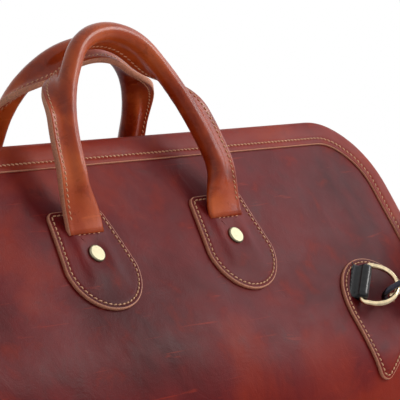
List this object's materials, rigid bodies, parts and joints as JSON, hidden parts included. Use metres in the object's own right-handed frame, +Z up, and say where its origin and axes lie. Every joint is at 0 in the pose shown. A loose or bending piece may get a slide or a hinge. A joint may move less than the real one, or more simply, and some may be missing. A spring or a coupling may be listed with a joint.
{
  "type": "duffel bag",
  "caption": "Leather duffel bag with two rolled handles, bound panel edges, a zip along the top, D-rings on teardrop patches and a clip-on shoulder strap",
  "frame": {"origin": "on the floor under the middle of the base, at the foot face of the middle metal stud", "axes": "X along the bag with the front ring near +X, -Y is the front, +Z up"},
  "size_m": [0.7321, 0.363, 0.3863],
  "materials": {
    "body_leather": "waxed pull-up leather, red-brown",
    "binding_leather": "smooth edge binding, red-brown",
    "handle_leather": "rolled leather, lighter orange-brown",
    "black_leather": "smooth black leather",
    "pale_brass": "polished pale gold plating",
    "zip_brass": "brushed brass",
    "dark_metal": "glossy black nickel",
    "zip_tape": "woven tape",
    "strap_web": "woven webbing",
    "lining": "cotton twill",
    "board": "stiffener board",
    "rope": "twisted cotton rope"
  },
  "bodies": {
    "bag": {"back_binding": "binding_leather", "back_hook_eye": "dark_metal", "back_left_handle_patch": "body_leather", "back_left_handle_rivet": "pale_brass", "back_left_handle_tongue": "handle_leather", "back_panel": "body_leather", "back_right_handle_patch": "body_leather", "back_right_handle_rivet": "pale_brass", "back_right_handle_tongue": "handle_leather", "back_ring_loop": "black_leather", "back_ring_patch": "body_leather", "back_strap_tab": "black_leather", "base_board": "board", "base_feet": "pale_brass", "base_panel": "body_leather", "front_binding": "binding_leather", "front_hook_eye": "dark_metal", "front_left_handle_patch": "body_leather", "front_left_handle_rivet": "pale_brass", "front_left_handle_tongue": "handle_leather", "front_panel": "body_leather", "front_right_handle_patch": "body_leather", "front_right_handle_rivet": "pale_brass", "front_right_handle_tongue": "handle_leather", "front_ring_loop": "black_leather", "front_ring_patch": "body_leather", "front_strap_tab": "black_leather", "left_gusset": "body_leather", "lining": "lining", "right_gusset": "body_leather", "shoulder_pad": "black_leather", "shoulder_strap": "strap_web", "strap_buckle": "pale_brass", "strap_keeper": "black_leather"},
    "front_flap": {"front_zip_facing": "body_leather", "front_zip_tape": "zip_tape", "front_zip_teeth": "zip_brass"},
    "back_flap": {"back_zip_facing": "body_leather", "back_zip_tape": "zip_tape", "back_zip_teeth": "zip_brass"},
    "slider": {"zip_slider": "zip_brass"},
    "pull": {"zip_pull": "body_leather"},
    "front_carry_handle": {"front_handle": "handle_leather", "front_handle_rope": "rope"},
    "back_carry_handle": {"back_handle": "handle_leather", "back_handle_rope": "rope"},
    "front_ring": {"front_d_ring": "pale_brass"},
    "back_ring": {"back_d_ring": "pale_brass"},
    "front_hook": {"front_snap_hook": "dark_metal"},
    "back_hook": {"back_snap_hook": "dark_metal"},
    "front_trigger": {"front_hook_trigger": "pale_brass"},
    "back_trigger": {"back_hook_trigger": "pale_brass"}
  },
  "joints": [
    {"name": "front_handle_fold", "type": "hinge", "parent": "bag", "child": "front_carry_handle", "pos_m": [0, -0.0637, 0.24538], "axis": [1, 0, 0], "range_deg": [0, 138]},
    {"name": "back_handle_fold", "type": "hinge", "parent": "bag", "child": "back_carry_handle", "pos_m": [0, 0.0637, 0.24538], "axis": [-1, 0, 0], "range_deg": [0, 150]},
    {"name": "front_flap_open", "type": "hinge", "parent": "bag", "child": "front_flap", "pos_m": [0, -0.0152, 0.2992], "axis": [1, 0, 0], "range_deg": [0, 50]},
    {"name": "back_flap_open", "type": "hinge", "parent": "bag", "child": "back_flap", "pos_m": [0, 0.0152, 0.2992], "axis": [-1, 0, 0], "range_deg": [0, 50]},
    {"name": "zip_travel", "type": "slide", "parent": "bag", "child": "slider", "axis": [1, 0, 0], "range_m": [0, 0.444]},
    {"name": "zip_pull_lift", "type": "hinge", "parent": "slider", "child": "pull", "pos_m": [-0.219, 0, 0.3043], "axis": [0, 1, 0], "range_deg": [0, 100]},
    {"name": "front_ring_swing", "type": "hinge", "parent": "bag", "child": "front_ring", "pos_m": [0.18357, -0.1023, 0.16976], "axis": [0.6428, 0.2929, 0.7079], "range_deg": [0, 8]},
    {"name": "back_ring_swing", "type": "hinge", "parent": "bag", "child": "back_ring", "pos_m": [-0.18357, 0.1023, 0.16976], "axis": [-0.6428, -0.2929, 0.7079], "range_deg": [0, 8]},
    {"name": "front_hook_swivel", "type": "hinge", "parent": "bag", "child": "front_hook", "pos_m": [0.2011, -0.11976, 0.16189], "axis": [0.8989, -0.2996, 0.3196], "range_deg": [-5, 5]},
    {"name": "back_hook_swivel", "type": "hinge", "parent": "bag", "child": "back_hook", "pos_m": [-0.2011, 0.11976, 0.16189], "axis": [-0.8989, 0.2996, 0.3196], "range_deg": [-5, 5]},
    {"name": "front_trigger_slide", "type": "slide", "parent": "front_hook", "child": "front_trigger", "axis": [0.8989, -0.2996, 0.3196], "range_m": [0, 0.006], "stiffness_N_per_m": 250, "springref_m": -0.001},
    {"name": "back_trigger_slide", "type": "slide", "parent": "back_hook", "child": "back_trigger", "axis": [-0.8989, 0.2996, 0.3196], "range_m": [0, 0.006], "stiffness_N_per_m": 250, "springref_m": -0.001}
  ]
}
